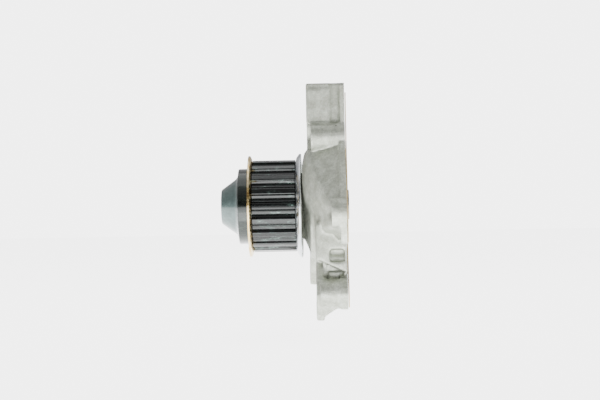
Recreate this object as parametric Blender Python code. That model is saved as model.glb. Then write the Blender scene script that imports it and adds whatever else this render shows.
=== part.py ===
"""A timing-belt water pump for a car engine, with its gasket, in metres.

The rotor turns about the X axis. The nose of the sprocket points to -X, and the gasket's
outer face, which meets the engine block, lies in the plane X = 0. +Z is up.
"""

import math

import bmesh
import bpy
from mathutils import Matrix, Vector

# Driving dimensions
GAP = 0.0003                   # clearance kept between pieces that touch on the real pump
GASKET_THICK = 0.0006
FACE_X = -(GASKET_THICK + GAP)  # the housing's machined mounting face

BELT_PITCH = 0.009525
TOOTH_COUNT = 19
PITCH_RADIUS = BELT_PITCH * TOOTH_COUNT / (2 * math.pi)
TOOTH_TIP_RADIUS = PITCH_RADIUS - 0.0007
GROOVE_DEPTH = 0.00225
GROOVE_ROUND = 0.00295
TOOTH_FRONT_X = -0.0576
TOOTH_REAR_X = -0.0312

NOSE_FRONT_X = -0.0769
NOSE_FRONT_RADIUS = 0.0104
COLLAR_FRONT_X = -0.0661
COLLAR_RADIUS = 0.0231
STAKE_RADIUS = 0.0242          # rear collar that carries the rear flange
STAKE_END_X = -0.0289
CUP_RADIUS = 0.0206            # hollow that clears the bearing snout
CUP_FLOOR_X = -0.0562

FLANGE_THICK = 0.0014
FRONT_FLANGE_RADIUS = 0.0310
REAR_FLANGE_RADIUS = 0.0319

SHAFT_RADIUS = 0.0080
SHAFT_END_RADIUS = 0.0060
SHAFT_FRONT_X = -0.0764

BEARING_RADIUS = 0.0150
BEARING_FRONT_X = -0.0545
BEARING_REAR_X = -0.0185
BEARING_INNER_RADIUS = 0.0127
BALL_RADIUS = 0.0031
BALL_CIRCLE = 0.01055          # radius of the circle through the ball centres
BALLS_IN_ROW = 7
ROW_X = {"front": -0.0455, "rear": -0.0275}
CAGE_HALF_WIDTH = 0.0042

SNOUT_RADIUS = 0.0190
SNOUT_FRONT_X = -0.0520
CHAMBER_RADIUS = 0.0282
ARM_TOP_Z = 0.0722
CHAMBER_FLOOR_X = FACE_X - 0.0090
RING_RADIUS = 0.0358           # outside of the wall around the impeller chamber
MOUNT_FLANGE_THICK = 0.0034
SEAL_BORE_RADIUS = 0.0145
SEAL_FLOOR_X = -0.0170
THROAT_RADIUS = 0.0115

IMPELLER_RADIUS = 0.0250
IMPELLER_BACK_X = -0.0076
IMPELLER_DISC_THICK = 0.0022
HUB_END_X = 0.0012
VANE_TIP_X = -0.0001
VANE_COUNT = 7
VANE_ROOT_RADIUS = 0.0158

TROUGH_X = -0.0070             # round trough down the near side of the arm
TROUGH_Y = -0.0388
TROUGH_RADIUS = 0.0033

TOP_SEAT_X = -0.0210           # flat seats for the heads of the two near bolts
TOP_SEAT_RADIUS = 0.0080
SIDE_SEAT_X = -0.0095
SIDE_SEAT_RADIUS = 0.0078
WEEP_X = -0.0172
WEEP_Y = -0.0050
WEEP_RADIUS = 0.0020

M8_HOLE_RADIUS = 0.0042
M10_HOLE_RADIUS = 0.0055

# Bolt centres in the mounting face, as (Y, Z)
TOP_BOLT = Vector((-0.0345, 0.0405))
SIDE_BOLT = Vector((-0.0730, -0.0040))
LOWER_BOLT = Vector((-0.0220, -0.0360))
FOOT_BOLT = Vector((-0.0490, -0.0515))
FAR_BOLT = Vector((0.0450, -0.0110))
ARM_END = Vector((-0.0300, 0.0640))
RING_TOP = Vector((-0.0110, 0.0290))
RING_SIDE = Vector((-0.0305, -0.0060))
RING_CENTRE = Vector((0.0, 0.0))
LUG_TIP = Vector((0.0195, -0.0405))
STRAP_CORNER = Vector((-0.0675, -0.0185))

# Gasket widths: half the width of a strap, and the radius of the pad round a bolt
STRAP_HALF = 0.0029
WIDE_STRAP_HALF = 0.0055
PAD_RADIUS = 0.0072
FOOT_PAD_RADIUS = 0.0082
GASKET_RING_INNER = 0.0285
GASKET_RING_OUTER = 0.0339
FLANGE_MARGIN = 0.0013         # how far the housing's flange reaches past the gasket


def clear_scene():
    for obj in list(bpy.data.objects):
        bpy.data.objects.remove(obj, do_unlink=True)


def material(name, colour, roughness, metallic):
    made = bpy.data.materials.new(name)
    made.use_nodes = True
    shader = made.node_tree.nodes["Principled BSDF"]
    shader.inputs["Base Color"].default_value = (*colour, 1.0)
    shader.inputs["Roughness"].default_value = roughness
    shader.inputs["Metallic"].default_value = metallic
    return made


def new_object(name, bm, finish=None, smooth=True):
    """Makes an object from a bmesh, with its faces turned outwards."""
    bmesh.ops.remove_doubles(bm, verts=bm.verts[:], dist=1e-7)
    bmesh.ops.recalc_face_normals(bm, faces=bm.faces[:])
    mesh = bpy.data.meshes.new(name)
    bm.to_mesh(mesh)
    bm.free()
    if smooth:
        mesh.shade_smooth()
        mesh.set_sharp_from_angle(angle=math.radians(35))
    obj = bpy.data.objects.new(name, mesh)
    bpy.context.scene.collection.objects.link(obj)
    if finish:
        mesh.materials.append(finish)
    return obj


def turned_bmesh(profile, segments):
    """A closed (x, radius) outline spun about the X axis. Points of radius 0 close it on the axis."""
    bm = bmesh.new()
    ring = [bm.verts.new((x, 0.0, radius)) for x, radius in profile]
    for start, end in zip(ring, ring[1:] + ring[:1]):
        if start.co.z > 0 or end.co.z > 0:
            bm.edges.new((start, end))
    bmesh.ops.spin(
        bm, geom=bm.verts[:] + bm.edges[:], cent=(0, 0, 0), axis=(1, 0, 0),
        angle=2 * math.pi, steps=segments, use_merge=True,
    )
    bmesh.ops.remove_doubles(bm, verts=bm.verts[:], dist=1e-7)
    bmesh.ops.dissolve_degenerate(bm, edges=bm.edges[:], dist=1e-8)
    return bm


def turned(name, profile, finish=None, segments=28):
    return new_object(name, turned_bmesh(profile, segments), finish)


def tube(inner, outer, front_x, rear_x):
    """The outline of a plain ring, for turned()."""
    return [(front_x, inner), (front_x, outer), (rear_x, outer), (rear_x, inner)]


def circle(centre, radius, segments=24, turn=0.0):
    return [
        centre + Vector((math.cos(a), math.sin(a))) * radius
        for a in (turn + 2 * math.pi * i / segments for i in range(segments))
    ]


def prism(name, outline, front_x, rear_x, finish=None):
    """A flat (Y, Z) outline drawn out along X."""
    bm = bmesh.new()
    face = bm.faces.new([bm.verts.new((front_x, p[0], p[1])) for p in outline])
    moved = bmesh.ops.extrude_face_region(bm, geom=[face])["geom"]
    corners = [item for item in moved if isinstance(item, bmesh.types.BMVert)]
    bmesh.ops.translate(bm, verts=corners, vec=(rear_x - front_x, 0, 0))
    return new_object(name, bm, finish)


def block(name, near_corner, far_corner):
    """A box between two (x, y, z) corners."""
    bm = bmesh.new()
    bmesh.ops.create_cube(bm, size=1.0)
    near = Vector(near_corner)
    size = Vector(far_corner) - near
    for vert in bm.verts:
        vert.co = Vector(near[i] + size[i] * (vert.co[i] + 0.5) for i in range(3))
    return new_object(name, bm)


def side_prism(name, outline, near_y, far_y):
    """An (X, Z) outline drawn out along Y."""
    bm = bmesh.new()
    face = bm.faces.new([bm.verts.new((x, near_y, z)) for x, z in outline])
    moved = bmesh.ops.extrude_face_region(bm, geom=[face])["geom"]
    corners = [item for item in moved if isinstance(item, bmesh.types.BMVert)]
    bmesh.ops.translate(bm, verts=corners, vec=(0, far_y - near_y, 0))
    return new_object(name, bm)


def hull(name, discs, segments=16):
    """The convex skin round discs that face along X, each given as (x, (Y, Z), radius)."""
    bm = bmesh.new()
    for x, centre, radius in discs:
        for y, z in circle(Vector(centre), radius, segments):
            bm.verts.new((x, y, z))
    bmesh.ops.convex_hull(bm, input=bm.verts[:])
    bmesh.ops.delete(bm, geom=[v for v in bm.verts if not v.link_faces], context="VERTS")
    bmesh.ops.dissolve_limit(bm, angle_limit=math.radians(0.02), verts=bm.verts[:], edges=bm.edges[:])
    return new_object(name, bm)


def strap(name, start, end, radius_start, radius_end, front_x, rear_x):
    """A bar with round ends, from one (Y, Z) point to another."""
    discs = [
        (x, centre, radius)
        for x in (front_x, rear_x)
        for centre, radius in ((start, radius_start), (end, radius_end))
    ]
    return hull(name, discs)


def combine(target, other, operation, solver="EXACT"):
    """Joins, cuts or trims the target with a helper, which is left out of the render."""
    other.hide_render = True
    other.display_type = "WIRE"
    step = target.modifiers.new(f"{operation.lower()} {other.name}", "BOOLEAN")
    step.operation = operation
    step.object = other
    step.solver = solver


def add(target, other):
    combine(target, other, "UNION")


def cut(target, other):
    combine(target, other, "DIFFERENCE")


def land_outline(prefix, margin, front_x, rear_x):
    """The solid plan of the gasket, or of the flange under it, with helpers of unequal height."""
    pieces = [
        (RING_CENTRE, RING_CENTRE, GASKET_RING_OUTER, GASKET_RING_OUTER),
        (RING_SIDE, STRAP_CORNER, STRAP_HALF, STRAP_HALF),
        (STRAP_CORNER, SIDE_BOLT, STRAP_HALF, PAD_RADIUS),
        (SIDE_BOLT, TOP_BOLT, STRAP_HALF, STRAP_HALF),
        (TOP_BOLT, TOP_BOLT, PAD_RADIUS, PAD_RADIUS),
        (TOP_BOLT, ARM_END, STRAP_HALF, STRAP_HALF),
        (TOP_BOLT, RING_TOP, STRAP_HALF, STRAP_HALF),
        (RING_CENTRE, LOWER_BOLT, GASKET_RING_INNER, PAD_RADIUS),
        (LOWER_BOLT, FOOT_BOLT, WIDE_STRAP_HALF, WIDE_STRAP_HALF),
        (FOOT_BOLT, FOOT_BOLT, FOOT_PAD_RADIUS, FOOT_PAD_RADIUS),
        (RING_CENTRE, FAR_BOLT, PAD_RADIUS, PAD_RADIUS),
        (RING_CENTRE, LUG_TIP, STRAP_HALF, STRAP_HALF),
    ]
    made = []
    for number, (start, end, radius_start, radius_end) in enumerate(pieces):
        step = 0.0001 * number
        made.append(strap(
            f"{prefix}_{number}", start, end, radius_start + margin, radius_end + margin,
            front_x - step, rear_x + step,
        ))
    return made


def bolt_holes(prefix, front_x, rear_x):
    """One cutter for each bolt hole."""
    holes = [
        (TOP_BOLT, M8_HOLE_RADIUS), (SIDE_BOLT, M8_HOLE_RADIUS), (LOWER_BOLT, M8_HOLE_RADIUS),
        (FAR_BOLT, M8_HOLE_RADIUS), (FOOT_BOLT, M10_HOLE_RADIUS),
    ]
    return [
        prism(f"{prefix}_{number}", circle(centre, radius, 16), front_x, rear_x)
        for number, (centre, radius) in enumerate(holes)
    ]


def make_duct_core():
    """The coolant passage beside the chamber, which the ring wall keeps apart from it."""
    corners = [
        ((-0.0585, -0.0085), 0.0020), ((-0.0595, -0.0020), 0.0020), ((-0.0365, 0.0265), 0.0020),
        ((-0.0315, 0.0280), 0.0020), ((-0.0180, 0.0260), 0.0020), ((-0.0280, 0.0), 0.0020),
    ]
    discs = [(x, centre, radius) for centre, radius in corners for x in (-0.0045, 0.0110)]
    discs += [
        (-0.0215, (-0.0260, 0.0180), 0.0080), (-0.0160, (-0.0400, 0.0040), 0.0060),
        (-0.0185, (-0.0330, 0.0270), 0.0030),
    ]
    core = hull("duct", discs, segments=12)
    cut(core, prism("ring_wall", circle(RING_CENTRE, GASKET_RING_OUTER + 0.0010, 48), -0.050, 0.030))
    return core


def make_housing(finish):
    """The die-cast body: chamber wall, coolant passage, bearing snout, bolt bosses and flange."""
    over = 0.004                       # helpers run past the mounting face, which one cut then makes flat
    base = hull("housing", [
        (-0.0205, RING_CENTRE, RING_RADIUS - 0.0020),
        (-0.0185, RING_CENTRE, RING_RADIUS),
        (FACE_X + over, RING_CENTRE, RING_RADIUS),
    ], segments=40)
    base.data.materials.append(finish)

    snout = turned("snout", [
        (-0.010, 0.0), (SNOUT_FRONT_X, 0.0), (SNOUT_FRONT_X, SNOUT_RADIUS - 0.0010),
        (SNOUT_FRONT_X + 0.001, SNOUT_RADIUS), (-0.0290, SNOUT_RADIUS), (-0.0262, 0.0212),
        (-0.0240, 0.0262), (-0.0222, 0.0325), (-0.0150, 0.0330),
    ], segments=36)
    add(base, snout)

    add(base, hull("passage_hump", [
        (-0.0270, (-0.0170, 0.0140), 0.0110),
        (-0.0255, (-0.0180, 0.0150), 0.0170),
        (-0.0215, (-0.0260, 0.0190), 0.0160),
        (-0.0150, (-0.0460, 0.0030), 0.0100),
        (-0.0060, (-0.0370, 0.0330), 0.0050),
        (-0.0060, (-0.0650, -0.0080), 0.0070),
        (-0.0060, RING_CENTRE, 0.0330),
        (FACE_X + over + 0.0003, (-0.0370, 0.0330), 0.0048),
        (FACE_X + over + 0.0003, (-0.0650, -0.0080), 0.0068),
        (FACE_X + over + 0.0003, RING_CENTRE, 0.0320),
    ]))
    arm = [
        (-0.0370, ARM_TOP_Z), (-0.0170, ARM_TOP_Z), (-0.0030, 0.0350), (-0.0080, 0.0250),
        (-0.0300, 0.0280), (-0.0370, 0.0380),
    ]
    add(base, prism("arm", arm, FACE_X - 0.0227, FACE_X + over + 0.0006))
    arm_lip = [(-0.0394, ARM_TOP_Z - 0.0004), *arm[1:5], (-0.0394, 0.0380)]
    add(base, prism("arm_flange", arm_lip, FACE_X - 0.0038, FACE_X + over + 0.0007))
    add(base, block("arm_panel", (-0.0222, -0.0374, 0.0430), (-0.0106, -0.0350, 0.0688)))
    trough = bmesh.new()
    bmesh.ops.create_cone(
        trough, cap_ends=True, segments=20, radius1=TROUGH_RADIUS, radius2=TROUGH_RADIUS, depth=0.035,
        matrix=Matrix.Translation((TROUGH_X, TROUGH_Y, 0.0660)),
    )
    cut(base, new_object("arm_trough", trough))

    bosses = [
        ("top_boss", TOP_BOLT, 0.0087, 0.0203),
        ("side_boss", SIDE_BOLT, 0.0088, 0.0088),
        ("lower_boss", LOWER_BOLT, 0.0078, 0.0176),
        ("foot_boss", FOOT_BOLT, 0.0088, 0.0160),
        ("far_boss", FAR_BOLT, 0.0080, 0.0120),
    ]
    for number, (name, centre, radius, height) in enumerate(bosses):
        rear = FACE_X + over + 0.0008 + 0.0001 * number
        add(base, prism(name, circle(centre, radius, 22), FACE_X - height, rear))

    add(base, hull("side_web", [
        (-0.0170, (-0.0380, -0.0080), 0.0080), (-0.0075, (-0.0700, -0.0090), 0.0045),
        (-0.0020, (-0.0380, -0.0080), 0.0090), (-0.0020, (-0.0700, -0.0110), 0.0050),
    ]))
    add(base, hull("near_wall", [
        (-0.0192, (-0.0280, -0.0100), 0.0100), (-0.0192, (-0.0260, -0.0250), 0.0085),
        (-0.0147, (-0.0280, -0.0100), 0.0105), (-0.0147, (-0.0260, -0.0250), 0.0090),
    ]))
    # Below the side boss a wall faces the near side, with a slanting foot and a small window in it.
    add(base, side_prism("near_panel", [
        (-0.0188, -0.0100), (-0.0188, -0.0318), (-0.0166, -0.0322), (-0.0013, -0.0395), (-0.0013, -0.0100),
    ], -0.0480, -0.0190))
    cut(base, block("panel_window", (-0.0112, -0.0520, -0.0330), (-0.0024, -0.0445, -0.0256)))
    # Under it lies a framed pocket with one deep groove, and then a ledge over the foot.
    add(base, block("pocket_wall", (-0.0151, -0.0455, -0.0505), (-0.0021, -0.0190, -0.0300)))
    add(base, block("pocket_frame", (-0.0153, -0.0466, -0.0490), (-0.0134, -0.0440, -0.0310)))
    add(base, block("pocket_ledge", (-0.0156, -0.0500, -0.0494), (-0.0019, -0.0430, -0.0474)))
    cut(base, block("pocket_groove", (-0.0126, -0.0500, -0.0445), (-0.0030, -0.0435, -0.0385)))
    add(base, prism("lower_plate", [
        (-0.0340, -0.0120), (-0.0430, -0.0340), (-0.0530, -0.0450), (-0.0560, -0.0520),
        (-0.0540, -0.0630), (-0.0480, -0.0675), (-0.0410, -0.0650), (-0.0330, -0.0530),
        (-0.0160, -0.0400), (-0.0100, -0.0200),
    ], -0.0194, -0.0147))
    gusset = new_object("foot_gusset", turned_bmesh([(-0.0150, 0.0), (-0.0150, 0.0070), (-0.0040, 0.0)], 4))
    gusset.location = (0.0, FOOT_BOLT.x, FOOT_BOLT.y - 0.0070)
    add(base, gusset)
    add(base, strap(
        "lower_web", Vector((-0.0210, -0.0340)), Vector((-0.0470, -0.0520)),
        0.0056, 0.0056, -0.0165, -0.0015,
    ))
    add(base, strap(
        "far_web", RING_CENTRE + Vector((0.02, -0.005)), FAR_BOLT, 0.0110, 0.0050, -0.0105, -0.0017,
    ))
    add(base, hull("lug_rib", [
        (-0.0225, (0.0060, -0.0200), 0.0120), (-0.0238, (0.0175, -0.0425), 0.0070),
        (-0.0155, (0.0060, -0.0200), 0.0125), (-0.0155, (0.0175, -0.0425), 0.0075),
    ]))
    add(base, strap("lug_wall", Vector((0.0080, -0.0200)), LUG_TIP, 0.0060, 0.0036, -0.0200, -0.0013))

    for piece in land_outline("flange", FLANGE_MARGIN, FACE_X - MOUNT_FLANGE_THICK, FACE_X + over + 0.0015):
        add(base, piece)

    cut(base, turned("bores", [
        (-0.0600, 0.0), (-0.0600, BEARING_RADIUS + GAP), (-0.0182, BEARING_RADIUS + GAP),
        (-0.0182, THROAT_RADIUS), (SEAL_FLOOR_X, THROAT_RADIUS), (SEAL_FLOOR_X, SEAL_BORE_RADIUS),
        (CHAMBER_FLOOR_X, SEAL_BORE_RADIUS), (CHAMBER_FLOOR_X, CHAMBER_RADIUS),
        (0.0120, CHAMBER_RADIUS), (0.0120, 0.0),
    ], segments=40))
    cut(base, make_duct_core())
    cut(base, prism("arm_pocket", [
        (-0.0240, 0.0680), (-0.0190, 0.0680), (-0.0105, 0.0445), (-0.0190, 0.0430),
    ], FACE_X - 0.0190, 0.0110))
    # The port lets coolant pass between the chamber and the duct, under the sealing land.
    port_way = Vector((-0.0480, 0.0200)).normalized()
    cut(base, hull("port", [
        (x, port_way * reach, 0.0030)
        for x in (-0.0092, -0.0062)
        for reach in (0.0240, 0.0400)
    ]))
    # A drain for seal leakage opens downwards between the bearing and the seal.
    weep = bmesh.new()
    bmesh.ops.create_cone(
        weep, cap_ends=True, segments=12, radius1=WEEP_RADIUS, radius2=WEEP_RADIUS, depth=0.034,
        matrix=Matrix.Translation((WEEP_X, WEEP_Y, -0.0260)),
    )
    cut(base, new_object("weep_hole", weep))
    # Spot faces give the two near bolt heads a flat seat where the arm and the web run over a boss.
    cut(base, prism("top_seat", circle(TOP_BOLT, TOP_SEAT_RADIUS, 22), -0.0320, TOP_SEAT_X))
    cut(base, prism("side_seat", circle(SIDE_BOLT, SIDE_SEAT_RADIUS, 22), -0.0240, SIDE_SEAT_X))
    for hole in bolt_holes("housing_hole", -0.040, 0.010):
        cut(base, hole)
    # One last cut makes every boss and land flat, flush with the mounting plane.
    combine(base, prism("face_cut", [
        (-0.12, -0.12), (0.12, -0.12), (0.12, 0.12), (-0.12, 0.12),
    ], FACE_X, 0.020), "DIFFERENCE", "MANIFOLD")
    return base


def make_gasket(finish):
    """The flat paper gasket: a ring, straps along the passage walls, and a pad at each bolt."""
    pieces = land_outline("gasket_bar", 0.0, -0.003, 0.003)
    gasket = pieces[0]
    gasket.name = "gasket"
    gasket.data.materials.append(finish)
    for piece in pieces[1:]:
        add(gasket, piece)
    cut(gasket, prism("gasket_bore", circle(RING_CENTRE, GASKET_RING_INNER, 48), -0.010, 0.010))
    for hole in bolt_holes("gasket_hole", -0.010, 0.010):
        cut(gasket, hole)
    slab = prism("gasket_slab", [
        (-0.12, -0.12), (0.12, -0.12), (0.12, 0.12), (-0.12, 0.12),
    ], -GASKET_THICK, 0.0)
    combine(gasket, slab, "INTERSECT")
    return gasket


def tooth_outline():
    """The belt teeth: lands on the outside circle, with a round groove in the middle of each pitch."""
    outline = []
    centre_radius = TOOTH_TIP_RADIUS - GROOVE_DEPTH + GROOVE_ROUND
    # where the groove's circle meets the outside circle
    cosine = (centre_radius**2 + GROOVE_ROUND**2 - TOOTH_TIP_RADIUS**2) / (2 * centre_radius * GROOVE_ROUND)
    half_sweep = math.acos(cosine)
    arc_steps = 4
    for tooth in range(TOOTH_COUNT):
        middle = 2 * math.pi * tooth / TOOTH_COUNT
        out = Vector((math.cos(middle), math.sin(middle)))
        across = Vector((-out.y, out.x))
        for i in range(arc_steps + 1):
            sweep = half_sweep * (2 * i / arc_steps - 1)
            outline.append(
                out * (centre_radius - GROOVE_ROUND * math.cos(sweep))
                + across * GROOVE_ROUND * math.sin(sweep)
            )
        land = middle + math.pi / TOOTH_COUNT
        outline.append(Vector((math.cos(land), math.sin(land))) * TOOTH_TIP_RADIUS)
    return outline


def make_sprocket(finish):
    """The toothed sprocket with its collars and cone nose, one turned and cut piece of steel."""
    sprocket = prism("timing_sprocket", tooth_outline(), TOOTH_FRONT_X, TOOTH_REAR_X, finish)
    segments = TOOTH_COUNT * 2
    add(sprocket, turned("nose", [
        (-0.0500, 0.0), (NOSE_FRONT_X, 0.0), (NOSE_FRONT_X, NOSE_FRONT_RADIUS - 0.0006),
        (NOSE_FRONT_X + 0.0006, NOSE_FRONT_RADIUS), (-0.0680, 0.0168), (-0.0670, 0.0182),
        (-0.0664, 0.0205), (COLLAR_FRONT_X, COLLAR_RADIUS - 0.0006),
        (COLLAR_FRONT_X + 0.0006, COLLAR_RADIUS), (TOOTH_FRONT_X + 0.004, COLLAR_RADIUS),
        (-0.0500, COLLAR_RADIUS),
    ], segments=segments))
    add(sprocket, turned("rear_collar", tube(0.0, STAKE_RADIUS, -0.0400, STAKE_END_X), segments=segments))
    cut(sprocket, turned("cup", tube(0.0, CUP_RADIUS, CUP_FLOOR_X, -0.0200), segments=segments))
    cut(sprocket, turned("hub_bore", tube(0.0, SHAFT_RADIUS + GAP, -0.0900, -0.0450), segments=segments))
    return sprocket


def make_flanges(gold, silver):
    """The two pressed guide rings that keep the belt on the sprocket."""
    front = TOOTH_FRONT_X - GAP
    bore = COLLAR_RADIUS + GAP
    turned("sprocket_front_flange", [
        (front - FLANGE_THICK, bore), (front - FLANGE_THICK, 0.0293),
        (front - 0.0021, FRONT_FLANGE_RADIUS - 0.0002),
        (front - 0.0016, FRONT_FLANGE_RADIUS), (front - 0.0009, FRONT_FLANGE_RADIUS - 0.0001),
        (front, 0.0290), (front, bore),
    ], gold, segments=48)
    rear = TOOTH_REAR_X + GAP
    bore = STAKE_RADIUS + GAP
    turned("sprocket_rear_flange", [
        (rear, bore), (rear, 0.0290), (rear + 0.0020, REAR_FLANGE_RADIUS - 0.0002),
        (rear + 0.0028, REAR_FLANGE_RADIUS), (rear + 0.0034, REAR_FLANGE_RADIUS - 0.0005),
        (rear + FLANGE_THICK, 0.0294), (rear + FLANGE_THICK, bore),
    ], silver, segments=48)


def groove(x, reach, sign):
    """Points of a shallow raceway: bulging outwards in the outer ring, or inwards in the shaft."""
    centre = BALL_CIRCLE
    round_radius = BALL_RADIUS + GAP
    half = math.acos(min(1.0, abs(reach - centre) / round_radius))
    return [
        (x + round_radius * math.sin(a), centre + sign * round_radius * math.cos(a))
        for a in (half * (2 * i / 4 - 1) for i in range(5))
    ]


def make_bearing(steel, seal_rubber, cage_plastic, ball_steel):
    """The outer ring, lip seals, cages and balls of the bearing, whose inner races are cut in the shaft."""
    inner = BEARING_INNER_RADIUS
    profile = [(BEARING_FRONT_X, inner), (BEARING_FRONT_X, BEARING_RADIUS)]
    profile += [(BEARING_REAR_X, BEARING_RADIUS)]
    profile += [(BEARING_REAR_X, inner)]
    for row in ("rear", "front"):
        profile += groove(ROW_X[row], inner, 1)[::-1]
    turned("bearing_outer_ring", profile, steel)
    seal_outer = inner - GAP
    seal_inner = SHAFT_RADIUS + GAP
    turned(
        "bearing_front_seal", tube(seal_inner, seal_outer, BEARING_FRONT_X + 0.0004, -0.0524), seal_rubber,
    )
    turned("bearing_rear_seal", tube(seal_inner, seal_outer, -0.0206, BEARING_REAR_X - 0.0004), seal_rubber)
    for row, x in ROW_X.items():
        cage = turned(
            f"bearing_cage_{row}",
            tube(0.0092, 0.0119, x - CAGE_HALF_WIDTH, x + CAGE_HALF_WIDTH), cage_plastic,
        )
        for number in range(BALLS_IN_ROW):
            angle = 2 * math.pi * (number + 0.25) / BALLS_IN_ROW
            place = Vector((x, BALL_CIRCLE * math.cos(angle), BALL_CIRCLE * math.sin(angle)))
            pocket = bmesh.new()
            turn = Vector((0, place.y, place.z)).to_track_quat("Z", "X").to_matrix().to_4x4()
            bmesh.ops.create_cone(
                pocket, cap_ends=True, segments=10, radius1=BALL_RADIUS + GAP, radius2=BALL_RADIUS + GAP,
                depth=0.008, matrix=Matrix.Translation(place) @ turn,
            )
            cut(cage, new_object(f"pocket_{row}_{number}", pocket))
            ball = bmesh.new()
            bmesh.ops.create_uvsphere(ball, u_segments=10, v_segments=6, radius=BALL_RADIUS)
            made = new_object(f"ball_{row}_{number + 1}", ball, ball_steel)
            made.location = place


def make_shaft(finish):
    """The hardened spindle: races for the balls, a long seat for the sprocket, a thin impeller end."""
    profile = [
        (0.0, 0.0), (SHAFT_FRONT_X, 0.0), (SHAFT_FRONT_X, SHAFT_RADIUS - 0.0006),
        (SHAFT_FRONT_X + 0.0006, SHAFT_RADIUS),
    ]
    for row in ("front", "rear"):
        profile += groove(ROW_X[row], SHAFT_RADIUS, -1)
    profile += [(-0.0052, SHAFT_RADIUS), (-0.0046, SHAFT_END_RADIUS), (0.0, SHAFT_END_RADIUS)]
    turned("pump_shaft", profile, finish)


def make_seal(brass, rubber, spring_steel, carbon, ceramic):
    """The face seal: a cup pressed in the housing, bellows, spring and carbon, against a ceramic ring."""
    turned("seal_cup", [
        (-0.0167, 0.0092), (-0.0167, 0.0142), (CHAMBER_FLOOR_X + 0.0012, 0.0142),
        (CHAMBER_FLOOR_X + 0.0012, 0.0144), (CHAMBER_FLOOR_X + GAP, 0.0144),
        (CHAMBER_FLOOR_X + GAP, 0.0170), (CHAMBER_FLOOR_X + 0.0012, 0.0170),
        (CHAMBER_FLOOR_X + 0.0012 + 0.0001, 0.0134), (-0.0159, 0.0134), (-0.0159, 0.0092),
    ], brass)
    fold = [
        (-0.0155, 0.0120), (-0.0147, 0.0120), (-0.0147, 0.0103), (-0.0130, 0.0096),
        (-0.0115, 0.0104), (-0.0098, 0.0096), (-0.0083, 0.0104), (-0.0083, 0.0128),
        (-0.0075, 0.0128), (-0.0075, 0.0092), (-0.0098, 0.0086), (-0.0115, 0.0094),
        (-0.0130, 0.0086), (-0.0155, 0.0092),
    ]
    turned("seal_bellows", fold, rubber)
    curve = bpy.data.curves.new("seal_spring", "CURVE")
    curve.dimensions = "3D"
    curve.bevel_depth = 0.00045
    curve.bevel_resolution = 1
    curve.use_fill_caps = True
    turns = 3.5
    points = 42
    front_x = -0.0140
    rear_x = -0.0091
    spline = curve.splines.new("POLY")
    spline.points.add(points - 1)
    for number, point in enumerate(spline.points):
        share = number / (points - 1)
        angle = 2 * math.pi * turns * share
        point.co = (
            front_x + (rear_x - front_x) * share, 0.0116 * math.cos(angle), 0.0116 * math.sin(angle), 1.0,
        )
    spring = bpy.data.objects.new("seal_spring", curve)
    bpy.context.scene.collection.objects.link(spring)
    curve.materials.append(spring_steel)
    turned("seal_carbon_ring", tube(0.0093, 0.0126, -0.0072, -0.0056), carbon)
    turned("seal_mating_ring", tube(0.0088, 0.0124, -0.0053, -0.0038), ceramic)
    turned("mating_ring_boot", [
        (-0.0055, 0.0127), (-0.0055, 0.0141), (-0.0027, 0.0141), (-0.0027, 0.0090),
        (-0.0035, 0.0090), (-0.0035, 0.0127),
    ], rubber)


def make_impeller(finish):
    """The open impeller: a hub, a back disc and backward-curved vanes that face the block."""
    disc_front = IMPELLER_BACK_X + IMPELLER_DISC_THICK
    pocket = 0.0144
    impeller = turned("impeller", [
        (IMPELLER_BACK_X, pocket), (IMPELLER_BACK_X, IMPELLER_RADIUS), (disc_front, IMPELLER_RADIUS),
        (disc_front, 0.0178), (-0.0012, 0.0150), (-0.0012, 0.0090), (HUB_END_X, 0.0090),
        (HUB_END_X, SHAFT_END_RADIUS + GAP), (-0.0024, SHAFT_END_RADIUS + GAP), (-0.0024, pocket),
    ], finish, segments=36)
    half_thick = 0.0010
    steps = 4
    for number in range(VANE_COUNT):
        start = 2 * math.pi * number / VANE_COUNT
        line = []
        for i in range(steps + 1):
            share = i / steps
            radius = VANE_ROOT_RADIUS + (IMPELLER_RADIUS - 0.0003 - VANE_ROOT_RADIUS) * share
            angle = start - math.radians(34) * share
            line.append(Vector((math.cos(angle), math.sin(angle))) * radius)
        sides = ([], [])
        for i, point in enumerate(line):
            along = (line[min(i + 1, steps)] - line[max(i - 1, 0)]).normalized()
            offset = Vector((-along.y, along.x)) * half_thick
            sides[0].append(point + offset)
            sides[1].append(point - offset)
        outline = sides[0] + sides[1][::-1]
        add(impeller, prism(f"vane_{number}", outline, disc_front - 0.0012, VANE_TIP_X - 0.00002 * number))
    return impeller


clear_scene()
cast_aluminium = material("cast_aluminium", (0.60, 0.60, 0.56), 0.55, 0.6)
black_oxide_steel = material("black_oxide_steel", (0.035, 0.045, 0.055), 0.38, 0.8)
yellow_zinc = material("yellow_zinc", (0.80, 0.62, 0.28), 0.30, 1.0)
bright_zinc = material("bright_zinc", (0.80, 0.81, 0.82), 0.25, 1.0)
bearing_steel = material("bearing_steel", (0.55, 0.56, 0.57), 0.22, 1.0)
nitrile_rubber = material("nitrile_rubber", (0.03, 0.03, 0.03), 0.70, 0.0)
cage_nylon = material("cage_nylon", (0.62, 0.55, 0.38), 0.50, 0.0)
seal_brass = material("seal_brass", (0.70, 0.52, 0.22), 0.35, 1.0)
seal_carbon = material("seal_carbon", (0.05, 0.05, 0.05), 0.45, 0.0)
alumina_ceramic = material("alumina_ceramic", (0.85, 0.82, 0.74), 0.35, 0.0)
cast_iron = material("cast_iron", (0.22, 0.21, 0.19), 0.55, 0.8)
gasket_paper = material("gasket_paper", (0.64, 0.56, 0.40), 0.85, 0.0)

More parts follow.
